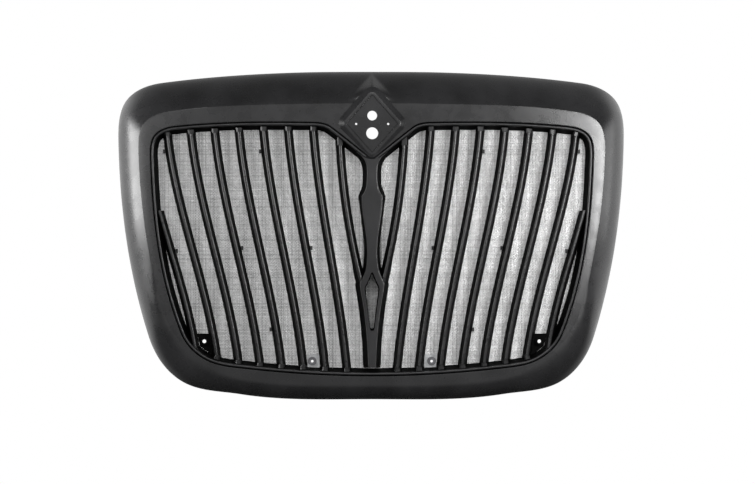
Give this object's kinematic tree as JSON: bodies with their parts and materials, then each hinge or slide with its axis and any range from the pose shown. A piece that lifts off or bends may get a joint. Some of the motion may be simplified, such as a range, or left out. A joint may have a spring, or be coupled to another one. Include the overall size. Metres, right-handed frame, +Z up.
{
  "type": "front grille",
  "caption": "Truck front grille: moulded surround with rolled flanks, curved upright bars, centre spine, blank diamond badge seat and woven bug screen.",
  "frame": {"origin": "midway between the two lower corner mounting holes, on the front seats of their bosses", "axes": "+X to the right seen from the front, -Y out of the front, +Z up"},
  "size_m": [1.154, 0.1496, 0.7455],
  "materials": {
    "shell_plastic": "satin black moulded plastic with a fine grain",
    "insert_plastic": "black moulded plastic",
    "bar_plastic": "black moulded plastic, slightly glossy on the nose",
    "retainer_plastic": "black plastic",
    "screen_mesh": "woven grey wire",
    "plated_steel": "bright zinc plate",
    "dark_steel": "dark zinc plate",
    "zinc_steel": "zinc plate",
    "coated_steel": "black e-coat"
  },
  "bodies": {
    "root": {"surround_face": "shell_plastic", "flank_top": "shell_plastic", "flank_right": "shell_plastic", "flank_bottom": "shell_plastic", "flank_left": "shell_plastic", "badge_floor": "shell_plastic", "badge_push_nuts": "zinc_steel", "insert_ring": "insert_plastic", "insert_flange": "insert_plastic", "insert_lip": "insert_plastic", "spine": "insert_plastic", "sockets_upper_left": "insert_plastic", "sockets_upper_right": "insert_plastic", "sockets_lower_left": "insert_plastic", "sockets_lower_right": "insert_plastic", "bug_screen": "screen_mesh", "screen_retainer": "retainer_plastic", "retainer_screws": "zinc_steel", "screen_centre_strip": "retainer_plastic", "centre_strip_screws": "zinc_steel", "screen_snaps": "retainer_plastic", "corner_tab_left": "insert_plastic", "corner_tab_right": "insert_plastic", "nut_plate_left": "plated_steel", "nut_plate_right": "plated_steel", "hex_nut_left": "dark_steel", "hex_nut_right": "dark_steel", "upper_bracket_left": "coated_steel", "upper_bracket_right": "coated_steel", "bracket_screws": "zinc_steel", "insert_screws": "zinc_steel", "bar_left_1": "bar_plastic", "bar_left_2": "bar_plastic", "bar_left_3": "bar_plastic", "bar_left_4": "bar_plastic", "bar_left_5": "bar_plastic", "bar_left_6": "bar_plastic", "bar_left_7": "bar_plastic", "bar_left_8": "bar_plastic", "bar_left_9": "bar_plastic", "bar_right_1": "bar_plastic", "bar_right_2": "bar_plastic", "bar_right_3": "bar_plastic", "bar_right_4": "bar_plastic", "bar_right_5": "bar_plastic", "bar_right_6": "bar_plastic", "bar_right_7": "bar_plastic", "bar_right_8": "bar_plastic", "bar_right_9": "bar_plastic"}
  },
  "joints": []
}
